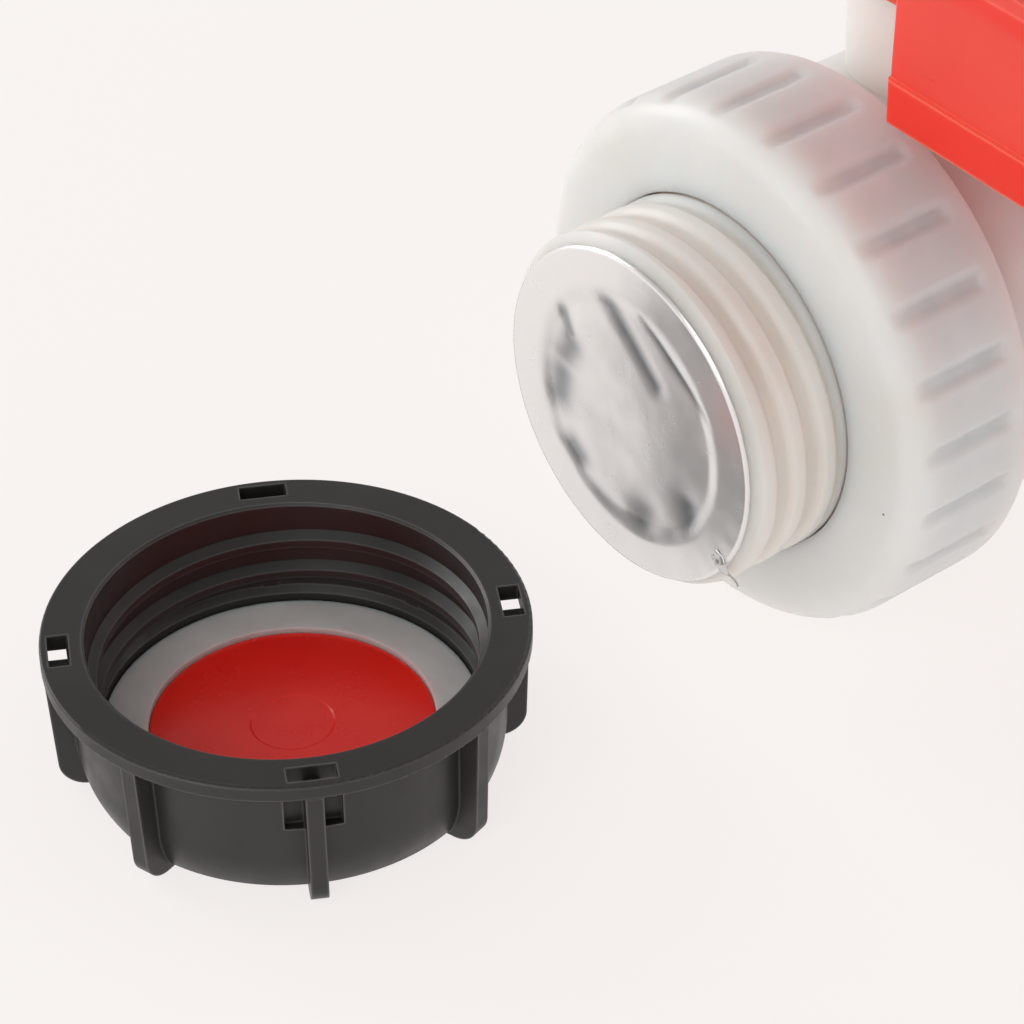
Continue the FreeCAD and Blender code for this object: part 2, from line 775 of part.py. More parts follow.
def make_cap_shell():
    """Cap: bowl with a flat flange, eight fins, four flange slots and the recesses under them."""
    foot_in = cap_foot_radius - cap_foot_bevel
    bowl_low = (cap_foot_lift, cap_foot_radius)
    bowl_high = (cap_foot_lift + cap_foot_round, cap_wall_radius - cap_bowl_draft)
    bowl_middle = (0.5 * (bowl_low[0] + bowl_high[0]) - cap_bowl_bulge,
                   0.5 * (bowl_low[1] + bowl_high[1]) + cap_bowl_bulge)
    bowl = cap_lathe([
        (0, 0),
        (0, foot_in),
        bowl_low,
        (bowl_middle, bowl_high),
        (cap_under_flange, cap_wall_radius),
        (cap_under_flange, cap_rim_radius - cap_edge_round),
        ((cap_under_flange + 0.3 * cap_edge_round, cap_rim_radius - 0.3 * cap_edge_round),
         (cap_under_flange + cap_edge_round, cap_rim_radius)),
        (cap_height - cap_edge_round, cap_rim_radius),
        ((cap_height - 0.3 * cap_edge_round, cap_rim_radius - 0.3 * cap_edge_round),
         (cap_height, cap_rim_radius - cap_edge_round)),
        (cap_height, cap_mouth_radius + cap_edge_round),
        (cap_height - cap_edge_round, cap_mouth_radius),
        (cap_seat_height + cap_seat_slope, cap_mouth_radius),
        (cap_seat_height, cap_seat_radius),
        (cap_floor, cap_seat_radius),
        (cap_floor, 0),
    ])
    fins = []
    for index in range(cap_fins):
        fins.append(cap_turned(make_cap_fin(), cap_turn + 360.0 * index / cap_fins))
    shell = bowl.fuse(fins)
    cuts = []
    slot = cap_box((cap_slot_radius - 0.5 * cap_slot_width, cap_slot_radius + 0.5 * cap_slot_width),
                   (-0.5 * cap_slot_length, 0.5 * cap_slot_length),
                   (cap_under_flange, cap_height + over_cut))
    side = 0.5 * (cap_window_width - cap_fin_thickness)
    window_out = (cap_wall_radius - cap_window_depth, cap_wall_radius + over_cut)
    window_high = (cap_under_flange - cap_window_height, cap_under_flange)
    for index in range(cap_slots):
        angle = cap_turn + 360.0 * index / cap_slots
        cuts.append(cap_turned(slot, angle))
        for sign in (-1, 1):
            middle = sign * 0.5 * (cap_fin_thickness + side)
            window = cap_box(window_out, (middle - 0.5 * side, middle + 0.5 * side), window_high)
            cuts.append(cap_turned(window, angle))
    return shell.cut(cuts).removeSplitter()


def make_cap_gasket():
    """Flat gasket ring on the cap's floor."""
    inner = cap_disc_radius + cap_disc_clearance
    top = cap_floor + cap_gasket_height
    outline = [(cap_floor, inner), (cap_floor, cap_gasket_radius), (top, cap_gasket_radius), (top, inner)]
    return cap_lathe(outline)


def make_cap_disc():
    """Clear coloured disc that fills the gasket ring, with a shallow round mark at its middle."""
    top = cap_floor + cap_disc_height
    mark_radius = cap_disc_mark * cap_disc_radius
    return cap_lathe([
        (cap_floor, 0),
        (cap_floor, cap_disc_radius),
        (top - cap_disc_edge, cap_disc_radius),
        (top, cap_disc_radius - cap_disc_edge),
        (top, mark_radius),
        (top - cap_disc_mark_depth, mark_radius - cap_disc_edge),
        (top - cap_disc_mark_depth, 0),
    ])


outlet_seat = make_outlet_seat()
outlet_seat_ring = make_outlet_seat_ring()
parts = {
    "valve_body": make_valve_body(),
    "inlet_gasket": make_inlet_gasket(),
    "ball": make_ball(),
    "outlet_seat": outlet_seat,
    "outlet_seat_ring": outlet_seat_ring,
    "inlet_seat": inlet_side(outlet_seat),
    "inlet_seat_ring": inlet_side(outlet_seat_ring),
    "seat_carrier": make_seat_carrier(),
    "carrier_ring": make_carrier_ring(),
    "outlet_spout": make_outlet_spout(),
    "foil_seal": make_foil_seal(),
    "spout_ring": make_spout_ring(),
    "union_nut": make_union_nut(),
    "stem": make_stem(),
    "stem_ring_lower": make_stem_ring(1),
    "stem_ring_upper": make_stem_ring(2),
    "thrust_washer": make_thrust_washer(),
    "handle": make_handle(),
    "handle_washer": make_handle_washer(),
    "handle_screw": make_handle_screw(),
    "handle_plug": make_handle_plug(),
    "cap_shell": make_cap_shell(),
    "cap_gasket": make_cap_gasket(),
    "cap_disc": make_cap_disc(),
}

os.makedirs("parts", exist_ok=True)
for name, shape in parts.items():
    shape.exportStep("parts/" + name + ".step")
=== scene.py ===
import bmesh
import bpy
import math
from mathutils import Matrix, Vector, noise


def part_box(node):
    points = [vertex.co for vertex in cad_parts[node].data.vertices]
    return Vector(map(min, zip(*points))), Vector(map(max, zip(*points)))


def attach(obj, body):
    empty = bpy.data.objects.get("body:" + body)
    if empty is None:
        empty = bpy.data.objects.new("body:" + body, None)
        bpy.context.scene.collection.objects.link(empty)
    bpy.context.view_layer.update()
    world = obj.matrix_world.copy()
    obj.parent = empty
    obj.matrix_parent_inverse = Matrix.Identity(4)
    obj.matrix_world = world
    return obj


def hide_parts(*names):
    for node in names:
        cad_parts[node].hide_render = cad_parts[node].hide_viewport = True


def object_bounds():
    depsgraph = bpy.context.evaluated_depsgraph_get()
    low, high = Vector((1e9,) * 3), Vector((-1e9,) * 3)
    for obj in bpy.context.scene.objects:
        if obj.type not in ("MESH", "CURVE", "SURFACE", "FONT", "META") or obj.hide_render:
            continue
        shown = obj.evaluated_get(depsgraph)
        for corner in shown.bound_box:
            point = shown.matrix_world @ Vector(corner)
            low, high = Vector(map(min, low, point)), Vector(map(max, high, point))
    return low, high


# A tank outlet ball valve with its union nut, foil-sealed spout, lever and loose dust cap.
# Sizes are in millimetres; MM turns them to the scene's metres.
# Y is the flow axis with the outlet at -Y, and Z is up. The cap stands on the floor.

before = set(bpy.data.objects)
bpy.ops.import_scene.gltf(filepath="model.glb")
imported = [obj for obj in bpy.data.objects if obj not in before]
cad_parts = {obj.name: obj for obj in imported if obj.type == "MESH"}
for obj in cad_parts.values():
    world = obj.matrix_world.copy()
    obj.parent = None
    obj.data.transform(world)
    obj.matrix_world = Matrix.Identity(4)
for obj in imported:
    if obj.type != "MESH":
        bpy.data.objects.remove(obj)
cad_low, cad_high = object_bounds()

MM = 0.001
TURN = 2 * math.pi

# ---- places that come from the frame
spout_low, spout_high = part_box("outlet_spout")
foil_low, foil_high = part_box("foil_seal")
nut_low, nut_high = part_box("union_nut")
body_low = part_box("valve_body")[0]
cap_low, cap_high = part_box("cap_shell")
gasket_low, gasket_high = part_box("cap_gasket")
handle_low, handle_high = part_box("handle")

SPOUT_END = foil_low.y / MM
SPOUT_MOUTH = spout_low.y / MM
SPOUT_BACK = spout_high.y / MM
COLLAR_RADIUS = spout_high.x / MM
FOIL_RADIUS = foil_high.x / MM
NUT_FACE = nut_low.y / MM
NUT_BACK = nut_high.y / MM
NUT_RADIUS = nut_high.x / MM
FLOOR_HEIGHT = body_low.z
CAP_CENTRE = ((gasket_low + gasket_high) / 2) / MM
CAP_FOOT = cap_low.z / MM
CAP_TOP = cap_high.z / MM
HANDLE_TOP = handle_high.z / MM

# ---- sizes of the moulded detail
# Heights of the handle's lip and crown bands, where painted shade deepens the red.
HANDLE_LIP_HEIGHT = 7.3
HANDLE_LIP_TOP = handle_low.z / MM + HANDLE_LIP_HEIGHT
HANDLE_CROWN_LOW = HANDLE_TOP - 5.5
HANDLE_CROWN_HIGH = HANDLE_TOP - 3.5

BORE_RADIUS = 22.3
THREAD_PITCH = 6.0
# Shares of the pitch: the flat land between two grooves, and each sloping side of a groove.
THREAD_LAND = 0.28
THREAD_FLANK = 0.24
SPOUT_THREAD_RADIUS = 29.65
SPOUT_NECK_RADIUS = 29.3
SPOUT_THREAD_DEPTH = 1.15
SPOUT_LEAD_IN = 2.0
SPOUT_LIP_ROUND = 0.5
SPOUT_SECTORS = 240
SPOUT_STEP = 0.4
COLLAR_THICKNESS = 5.6
COLLAR_CHAMFER = 1.2
FACE_GROOVE_RADIUS = 36.0
FACE_GROOVE_HALF = 1.53
FACE_GROOVE_DEPTH = 2.3

NUT_HOLE_RADIUS = 29.77
NUT_BORE_RADIUS = 40.3
NUT_FRONT_WALL = 5.1
NUT_FACE_FALL = 0.8
NUT_SHOULDER_ROUND = 5.0
NUT_EDGE_ROUND = 1.2
NUT_HOLE_ROUND = 0.6
NUT_BORE_CHAMFER = 0.8
NUT_GROOVES = 24
NUT_GROOVE_WIDTH = 3.0
NUT_GROOVE_DEPTH = 0.8
NUT_GROOVE_BLEND = 1.7
NUT_GROOVE_TURN = 6.5
NUT_RIM = 3.5
NUT_THREAD_DEPTH = 1.4
NUT_SECTORS = 24 * NUT_GROOVES
NUT_STEP = 0.8

CAP_MOUTH_RADIUS = 30.73
CAP_THREAD_DEPTH = 1.5
CAP_THREAD_TURNS = 2.2
CAP_THREAD_TOP = 4.6
INLET_THREAD_RADIUS = 37.5
INLET_THREAD_DEPTH = 1.5
INLET_THREAD_TURNS = 2.9
INLET_THREAD_START = 3.6

FOIL_FLANGE_INNER = 21.8
FOIL_SHEET = 0.12
FOIL_EDGE_DROP = 0.7
FOIL_EDGE_OVERLAP = 0.30
FOIL_SECTORS = 300
FOIL_RINGS = 74

TAB_TURN = -34
TAB_WIDTH = 2.4
TAB_SLIVER_WIDTH = 0.35
TAB_INSET = 2.4
TAB_REACH = 6.2
TAB_DROP = 1.7


# ---- small helpers
def linear(code):
    """Linear colour with alpha from an sRGB hex code."""
    parts = [int(code[place:place + 2], 16) / 255 for place in (1, 3, 5)]
    return tuple(c / 12.92 if c <= 0.04045 else ((c + 0.055) / 1.055) ** 2.4 for c in parts) + (1.0,)


def smooth(value, low, high):
    """Smooth step from 0 at low to 1 at high."""
    share = max(0.0, min(1.0, (value - low) / (high - low)))
    return share * share * (3 - 2 * share)


def add(tree, kind, settings=None, links=None):
    """Adds a node with its settings, by attribute or socket, and its links."""
    made = tree.nodes.new(kind)
    for key, value in (settings or {}).items():
        if isinstance(key, str) and hasattr(made, key):
            setattr(made, key, value)
        else:
            made.inputs[key].default_value = value
    for key, (source, output) in (links or {}).items():
        tree.links.new(source.outputs[output], made.inputs[key])
    return made


# ---- mesh helpers
def flow_point(along, radius, turn):
    """Point about the flow axis in metres."""
    return Vector((radius * math.cos(turn), along, radius * math.sin(turn))) * MM


def cap_point(along, radius, turn):
    """Point about the cap's axis in metres, with height above the cap's foot."""
    x = CAP_CENTRE.x + radius * math.cos(turn)
    y = CAP_CENTRE.y + radius * math.sin(turn)
    return Vector((x, y, CAP_FOOT + along)) * MM


def new_piece(name, verts, faces, material, body, crease=40):
    """Smooth-shaded mesh that rides on a body, with edges sharper than the crease left sharp."""
    mesh = bpy.data.meshes.new(name)
    mesh.from_pydata([tuple(v) for v in verts], [], faces)
    shape = bmesh.new()
    shape.from_mesh(mesh)
    bmesh.ops.recalc_face_normals(shape, faces=shape.faces)
    shape.to_mesh(mesh)
    shape.free()
    mesh.shade_smooth()
    mesh.set_sharp_from_angle(angle=math.radians(crease))
    mesh.materials.append(material)
    piece = bpy.data.objects.new(name, mesh)
    bpy.context.scene.collection.objects.link(piece)
    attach(piece, body)
    return piece


def arc(centre, radius, start, end, steps):
    """Points of an arc in an (along, radius) outline, from start to end in degrees."""
    points = []
    for index in range(steps + 1):
        angle = math.radians(start + (end - start) * index / steps)
        points.append((centre[0] + radius * math.cos(angle), centre[1] + radius * math.sin(angle)))
    return points


def divided(outline, step):
    """The closed outline with its long sides divided into steps no longer than one size."""
    points = []
    for index, first in enumerate(outline):
        last = outline[(index + 1) % len(outline)]
        count = max(1, math.ceil(math.dist(first, last) / step))
        for part in range(count):
            share = part / count
            points.append(tuple(a + (b - a) * share for a, b in zip(first, last)))
    return points


def turned(outline, sectors, place, change):
    """Vertices and faces of a closed outline turned about an axis, each radius passed to change."""
    verts = []
    for along, radius in outline:
        for index in range(sectors):
            turn = TURN * index / sectors
            verts.append(place(along, change(along, radius, turn), turn))
    faces = []
    rows = len(outline)
    for row in range(rows):
        below = row * sectors
        above = (row + 1) % rows * sectors
        for index in range(sectors):
            after = (index + 1) % sectors
            faces.append((below + index, below + after, above + after, above + index))
    return verts, faces


def thread_groove(phase):
    """Depth share of a thread's groove: 0 along the land, 1 in the rounded root."""
    place = phase % 1.0
    return (smooth(place, THREAD_LAND, THREAD_LAND + THREAD_FLANK)
            * (1 - smooth(place, 1 - THREAD_FLANK, 1.0)))


def helix_ridge(place, radius, depth, start, turns, rising, steps=144):
    """Vertices and faces of a thread ridge inside a wall, faded out at both ends."""
    half_root = 0.36 * THREAD_PITCH
    half_crest = 0.12 * THREAD_PITCH
    section = ((-half_root, 0.25), (-0.8 * half_root, -0.12), (-half_crest, -0.92), (0, -1.0),
               (half_crest, -0.92), (0.8 * half_root, -0.12), (half_root, 0.25))
    count = int(steps * turns)
    verts = []
    for index in range(count + 1):
        share = index / count
        fade = smooth(share, 0, 0.05) * (1 - smooth(share, 0.95, 1))
        turn = TURN * turns * share
        along = start + rising * THREAD_PITCH * turns * share
        for offset, out in section:
            height = out * depth * (fade if out < 0 else 1)
            verts.append(place(along + offset * (0.4 + 0.6 * fade), radius + height, turn))
    width = len(section)
    faces = [tuple(range(width)), tuple(range(count * width, (count + 1) * width))]
    for index in range(count):
        for part in range(width):
            after = (part + 1) % width
            faces.append((index * width + part, index * width + after,
                          (index + 1) * width + after, (index + 1) * width + part))
    return verts, faces


# ---- material helpers
def start_material(name):
    """New material with its tree, its shader and its surface place in millimetres."""
    material = bpy.data.materials.new(name)
    material.use_nodes = True
    tree = material.node_tree
    tree.nodes.clear()
    shader = add(tree, "ShaderNodeBsdfPrincipled")
    out = add(tree, "ShaderNodeOutputMaterial")
    tree.links.new(shader.outputs[0], out.inputs[0])
    coords = add(tree, "ShaderNodeTexCoord")
    place = add(tree, "ShaderNodeVectorMath", {"operation": "SCALE", "Scale": 1 / MM},
                {0: (coords, "Object")})
    return material, tree, shader, place


def mottled(tree, place, size, low, high, detail=3.0):
    """Number that drifts from low to high over patches of a size in millimetres."""
    cloud = add(tree, "ShaderNodeTexNoise", {"Scale": 1 / size, "Detail": detail},
                {"Vector": (place, 0)})
    return add(tree, "ShaderNodeMapRange",
               {"From Min": 0.3, "From Max": 0.7, "To Min": low, "To Max": high},
               {"Value": (cloud, 0)})


def mixed(tree, factor, first, second):
    """Colour between two hex codes or node outputs, by a factor node."""
    made = add(tree, "ShaderNodeMix", {"data_type": "RGBA"}, {0: (factor, 0)})
    for socket, colour in ((6, first), (7, second)):
        if isinstance(colour, str):
            made.inputs[socket].default_value = linear(colour)
        else:
            tree.links.new(colour.outputs[2], made.inputs[socket])
    return made


def edges_of(tree, size):
    """Number that rises to 1 on edges sharper than a radius in millimetres, and is 0 on open faces."""
    rounded = add(tree, "ShaderNodeBevel", {"samples": 6, "Radius": size * MM})
    flat = add(tree, "ShaderNodeNewGeometry")
    close = add(tree, "ShaderNodeVectorMath", {"operation": "DOT_PRODUCT"},
                {0: (rounded, 0), 1: (flat, "Normal")})
    return add(tree, "ShaderNodeMapRange",
               {"From Min": 0.995, "From Max": 0.9, "To Min": 0.0, "To Max": 1.0},
               {"Value": (close, "Value")})


def grain(tree, shader, place, size, height, coarse_size, coarse_height):
    """Moulded surface relief: a fine grain over a slow waviness, sizes and heights in millimetres."""
    wave = add(tree, "ShaderNodeTexNoise", {"Scale": 1 / coarse_size, "Detail": 1.0},
               {"Vector": (place, 0)})
    slow = add(tree, "ShaderNodeBump", {"Strength": 1.0, "Distance": coarse_height * MM},
               {"Height": (wave, 0)})
    pits = add(tree, "ShaderNodeTexNoise", {"Scale": 1 / size, "Detail": 2.0}, {"Vector": (place, 0)})
    fine = add(tree, "ShaderNodeBump", {"Strength": 1.0, "Distance": height * MM},
               {"Height": (pits, 0), "Normal": (slow, 0)})
    tree.links.new(fine.outputs[0], shader.inputs["Normal"])


def specks_of(tree, place, spacing, size):
    """Number that is 1 in rare round specks of a size, one in each cell of a spacing."""
    cells = add(tree, "ShaderNodeTexVoronoi", {"Scale": 1 / spacing}, {"Vector": (place, 0)})
    return add(tree, "ShaderNodeMapRange",
               {"From Min": 0.5 * size / spacing, "From Max": 0.25 * size / spacing,
                "To Min": 0.0, "To Max": 1.0}, {"Value": (cells, "Distance")})


# ---- materials
def natural_polypropylene(name, pale, deep):
    """Injection-moulded polypropylene without pigment: milky, lit from inside, softly glossy,
    with slow flow patches and a rare dark speck of burnt resin."""
    material, tree, shader, place = start_material(name)
    patches = mottled(tree, place, size=22.0, low=0.0, high=1.0)
    milk = mixed(tree, patches, pale, deep)
    burnt = specks_of(tree, place, 16.0, 0.5)
    colour = mixed(tree, burnt, milk, "#4A423A")
    tree.links.new(colour.outputs[2], shader.inputs["Base Color"])
    gloss = mottled(tree, place, size=9.0, low=0.30, high=0.42)
    tree.links.new(gloss.outputs[0], shader.inputs["Roughness"])
    shader.inputs["IOR"].default_value = 1.49
    shader.inputs["Subsurface Weight"].default_value = 1.0
    shader.inputs["Subsurface Radius"].default_value = (1.0, 0.75, 0.66)
    shader.inputs["Subsurface Scale"].default_value = 12.0 * MM
    grain(tree, shader, place, size=0.9, height=0.010, coarse_size=12.0, coarse_height=0.16)
    return material


def red_polypropylene():
    """Moulded red polypropylene: saturated and satin, with painted shade that deepens the red in the
    thick lip and crown, painted highlights that pale the edges, and fine scuffs."""
    material, tree, shader, place = start_material("moulded_red_polypropylene")
    patches = mottled(tree, place, size=30.0, low=0.0, high=1.0)
    red = mixed(tree, patches, "#F04634", "#EA3C2A")
    blur = 0.3
    # Painted shade: the red deepens on the lip and on the sideways faces of the crown band, standing in for
    # less light passing through thick plastic.
    apart = add(tree, "ShaderNodeSeparateXYZ", {}, {0: (place, 0)})
    lip = add(tree, "ShaderNodeMapRange",
              {"From Min": HANDLE_LIP_TOP + blur, "From Max": HANDLE_LIP_TOP - blur,
               "To Min": 0.0, "To Max": 1.0},
              {"Value": (apart, "Z")})
    crown = add(tree, "ShaderNodeMapRange",
                {"From Min": HANDLE_CROWN_LOW, "From Max": HANDLE_CROWN_HIGH, "To Min": 0.0, "To Max": 1.0},
                {"Value": (apart, "Z")})
    upward = add(tree, "ShaderNodeNewGeometry")
    facing = add(tree, "ShaderNodeSeparateXYZ", {}, {0: (upward, "Normal")})
    side = add(tree, "ShaderNodeMapRange",
               {"From Min": 0.75, "From Max": 0.35, "To Min": 0.0, "To Max": 1.0}, {"Value": (facing, "Z")})
    rim = add(tree, "ShaderNodeMath", {"operation": "MULTIPLY"}, {0: (crown, 0), 1: (side, 0)})
    painted_thick_shade = add(tree, "ShaderNodeMath", {"operation": "MAXIMUM"}, {0: (lip, 0), 1: (rim, 0)})
    deep = mixed(tree, painted_thick_shade, red, "#EE2E1A")
    # Painted highlight: edges sharper than the bevel radius turn a paler red.
    edge_highlight = edges_of(tree, 0.9)
    with_edge_highlight = mixed(tree, edge_highlight, deep, "#FF7460")
    stretched = add(tree, "ShaderNodeMapping", {"Rotation": (0.3, 0.9, 0.2), "Scale": (0.12, 1.0, 2.4)},
                    {"Vector": (place, 0)})
    strands = add(tree, "ShaderNodeTexNoise", {"Scale": 0.55, "Detail": 5.0, "Roughness": 0.7},
                  {"Vector": (stretched, 0)})
    scuffs = add(tree, "ShaderNodeMapRange",
                 {"From Min": 0.69, "From Max": 0.74, "To Min": 0.0, "To Max": 0.5},
                 {"Value": (strands, 0)})
    colour = mixed(tree, scuffs, with_edge_highlight, "#C21F14")
    tree.links.new(colour.outputs[2], shader.inputs["Base Color"])
    gloss = mottled(tree, place, size=12.0, low=0.28, high=0.40)
    tree.links.new(gloss.outputs[0], shader.inputs["Roughness"])
    shader.inputs["IOR"].default_value = 1.49
    shader.inputs["Subsurface Weight"].default_value = 0.8
    shader.inputs["Subsurface Radius"].default_value = (1.0, 0.16, 0.10)
    shader.inputs["Subsurface Scale"].default_value = 5.0 * MM
    grain(tree, shader, place, size=0.7, height=0.010, coarse_size=14.0, coarse_height=0.10)
    return material


def black_polypropylene():
    """Moulded black polypropylene: soft satin grain, painted highlights that grey the edges, and faint flow
    patches.
    """
    material, tree, shader, place = start_material("moulded_black_polypropylene")
    patches = mottled(tree, place, size=18.0, low=0.0, high=1.0)
    black = mixed(tree, patches, "#262524", "#1E1D1C")
    # Painted highlight: edges sharper than the bevel radius turn grey.
    edge_highlight = edges_of(tree, 0.6)
    colour = mixed(tree, edge_highlight, black, "#5A5856")
    tree.links.new(colour.outputs[2], shader.inputs["Base Color"])
    gloss = mottled(tree, place, size=5.0, low=0.36, high=0.48)
    tree.links.new(gloss.outputs[0], shader.inputs["Roughness"])
    shader.inputs["IOR"].default_value = 1.49
    grain(tree, shader, place, size=0.45, height=0.014, coarse_size=8.0, coarse_height=0.05)
    return material


def polished_ball():
    """Polished white polypropylene of the ball: smooth and glossy, with a slight waviness left by
    the polishing."""
    material, tree, shader, place = start_material("polished_ball_polypropylene")
    patches = mottled(tree, place, size=14.0, low=0.0, high=1.0)
    white = mixed(tree, patches, "#F2F0EC", "#E9E6E0")
    tree.links.new(white.outputs[2], shader.inputs["Base Color"])
    gloss = mottled(tree, place, size=4.0, low=0.14, high=0.22)
    tree.links.new(gloss.outputs[0], shader.inputs["Roughness"])
    shader.inputs["IOR"].default_value = 1.49
    shader.inputs["Subsurface Weight"].default_value = 0.5
    shader.inputs["Subsurface Radius"].default_value = (1.0, 0.9, 0.85)
    shader.inputs["Subsurface Scale"].default_value = 3.0 * MM
    grain(tree, shader, place, size=1.2, height=0.004, coarse_size=9.0, coarse_height=0.02)
    return material


def machined_ptfe():
    """Machined PTFE of seats and thrust washer: dense cool white and waxy, with a fine tooled grain."""
    material, tree, shader, place = start_material("machined_ptfe")
    patches = mottled(tree, place, size=6.0, low=0.0, high=1.0)
    white = mixed(tree, patches, "#F4F5F4", "#E8EAEA")
    tree.links.new(white.outputs[2], shader.inputs["Base Color"])
    gloss = mottled(tree, place, size=3.0, low=0.40, high=0.52)
    tree.links.new(gloss.outputs[0], shader.inputs["Roughness"])
    shader.inputs["IOR"].default_value = 1.36
    shader.inputs["Subsurface Weight"].default_value = 0.4
    shader.inputs["Subsurface Radius"].default_value = (1.0, 1.0, 1.0)
    shader.inputs["Subsurface Scale"].default_value = 2.0 * MM
    grain(tree, shader, place, size=0.5, height=0.008, coarse_size=5.0, coarse_height=0.02)
    return material


def moulded_rubber(name, light, dark, clearness):
    """Moulded rubber: matt and even, with a fine powdery grain. A pale one lets some light in."""
    material, tree, shader, place = start_material(name)
    patches = mottled(tree, place, size=7.0, low=0.0, high=1.0, detail=5.0)
    colour = mixed(tree, patches, light, dark)
    tree.links.new(colour.outputs[2], shader.inputs["Base Color"])
    gloss = mottled(tree, place, size=2.5, low=0.52, high=0.66)
    tree.links.new(gloss.outputs[0], shader.inputs["Roughness"])
    shader.inputs["IOR"].default_value = 1.52
    shader.inputs["Subsurface Weight"].default_value = clearness
    shader.inputs["Subsurface Radius"].default_value = (1.0, 0.6, 0.6)
    shader.inputs["Subsurface Scale"].default_value = 3.5 * MM
    grain(tree, shader, place, size=0.5, height=0.016, coarse_size=6.0, coarse_height=0.04)
    return material


def tinted_disc():
    """Clear red moulded disc over the cap's floor: glowing and glossy, with a slight waviness."""
    material, tree, shader, place = start_material("clear_red_moulding")
    patches = mottled(tree, place, size=12.0, low=0.0, high=1.0)
    colour = mixed(tree, patches, "#FF2A1C", "#F8221A")
    tree.links.new(colour.outputs[2], shader.inputs["Base Color"])
    gloss = mottled(tree, place, size=6.0, low=0.20, high=0.30)
    tree.links.new(gloss.outputs[0], shader.inputs["Roughness"])
    shader.inputs["IOR"].default_value = 1.49
    shader.inputs["Subsurface Weight"].default_value = 0.3
    shader.inputs["Subsurface Radius"].default_value = (1.0, 0.15, 0.10)
    shader.inputs["Subsurface Scale"].default_value = 3.0 * MM
    grain(tree, shader, place, size=1.1, height=0.010, coarse_size=7.0, coarse_height=0.05)
    return material


def rolled_foil():
    """Rolled aluminium lidding foil: bright mirror-like metal with soft rolling haze, and painted
    shade that greys it where it is creased."""
    material, tree, shader, place = start_material("rolled_aluminium_foil")
    # Painted shade: the crease attribute darkens the foil towards grey.
    crease = add(tree, "ShaderNodeAttribute", {"attribute_name": "crease"})
    painted_crease_shade = add(tree, "ShaderNodeMapRange", {"To Min": 0.0, "To Max": 0.8}, {"Value": (crease, "Fac")})
    colour = mixed(tree, painted_crease_shade, "#F2F0EF", "#7E8285")
    tree.links.new(colour.outputs[2], shader.inputs["Base Color"])
    shader.inputs["Metallic"].default_value = 0.68
    haze = mottled(tree, place, size=5.0, low=0.20, high=0.28)
    tree.links.new(haze.outputs[0], shader.inputs["Roughness"])
    grain(tree, shader, place, size=0.8, height=0.012, coarse_size=6.0, coarse_height=0.05)
    return material


def cold_headed_stainless():
    """Cold-headed stainless steel: bright grey metal with uneven gloss and a fine pressed grain."""
    material, tree, shader, place = start_material("cold_headed_stainless_steel")
    patches = mottled(tree, place, size=3.0, low=0.0, high=1.0)
    colour = mixed(tree, patches, "#C9C8C5", "#B4B3B1")
    tree.links.new(colour.outputs[2], shader.inputs["Base Color"])
    shader.inputs["Metallic"].default_value = 1.0
    gloss = mottled(tree, place, size=1.2, low=0.22, high=0.36)
    tree.links.new(gloss.outputs[0], shader.inputs["Roughness"])
    grain(tree, shader, place, size=0.4, height=0.006, coarse_size=2.5, coarse_height=0.02)
    return material


BODY_PP = natural_polypropylene("moulded_natural_polypropylene", "#F1EBE7", "#E9E2DD")
SPOUT_PP = natural_polypropylene("moulded_yellowish_polypropylene", "#ECE5DF", "#E3DBD3")
RED_PP = red_polypropylene()
BLACK_PP = black_polypropylene()
BALL_PP = polished_ball()
PTFE = machined_ptfe()
WHITE_RUBBER = moulded_rubber("moulded_white_rubber", "#D6D1CF", "#CBC6C4", clearness=1.0)
BLACK_RUBBER = moulded_rubber("moulded_black_rubber", "#262625", "#1D1D1D", clearness=0.0)
CLEAR_RED = tinted_disc()
FOIL = rolled_foil()
STEEL = cold_headed_stainless()

NODE_FINISHES = {
    "valve_body": (BODY_PP, "natural_pp"),
    "inlet_gasket": (WHITE_RUBBER, "white_rubber"),
    "inlet_seat": (PTFE, "ptfe"),
    "inlet_seat_ring": (BLACK_RUBBER, "black_rubber"),
    "outlet_seat": (PTFE, "ptfe"),
    "outlet_seat_ring": (BLACK_RUBBER, "black_rubber"),
    "seat_carrier": (BODY_PP, "natural_pp"),
    "carrier_ring": (BLACK_RUBBER, "black_rubber"),
    "ball": (BALL_PP, "ball_pp"),
    "stem": (BODY_PP, "natural_pp"),
    "stem_ring_lower": (BLACK_RUBBER, "black_rubber"),
    "stem_ring_upper": (BLACK_RUBBER, "black_rubber"),
    "thrust_washer": (PTFE, "ptfe"),
    "handle": (RED_PP, "red_pp"),
    "handle_washer": (STEEL, "stainless"),
    "handle_screw": (STEEL, "stainless"),
    "handle_plug": (RED_PP, "red_pp"),
    "spout_ring": (BLACK_RUBBER, "black_rubber"),
    "cap_shell": (BLACK_PP, "black_pp"),
    "cap_gasket": (WHITE_RUBBER, "white_rubber"),
    "cap_disc": (CLEAR_RED, "clear_red"),
}


def finish_nodes():
    """Gives each shown CAD node its material."""
    for name, (material, slot) in NODE_FINISHES.items():
        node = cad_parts[name]
        node.data.materials.clear()
        node.data.materials.append(material)


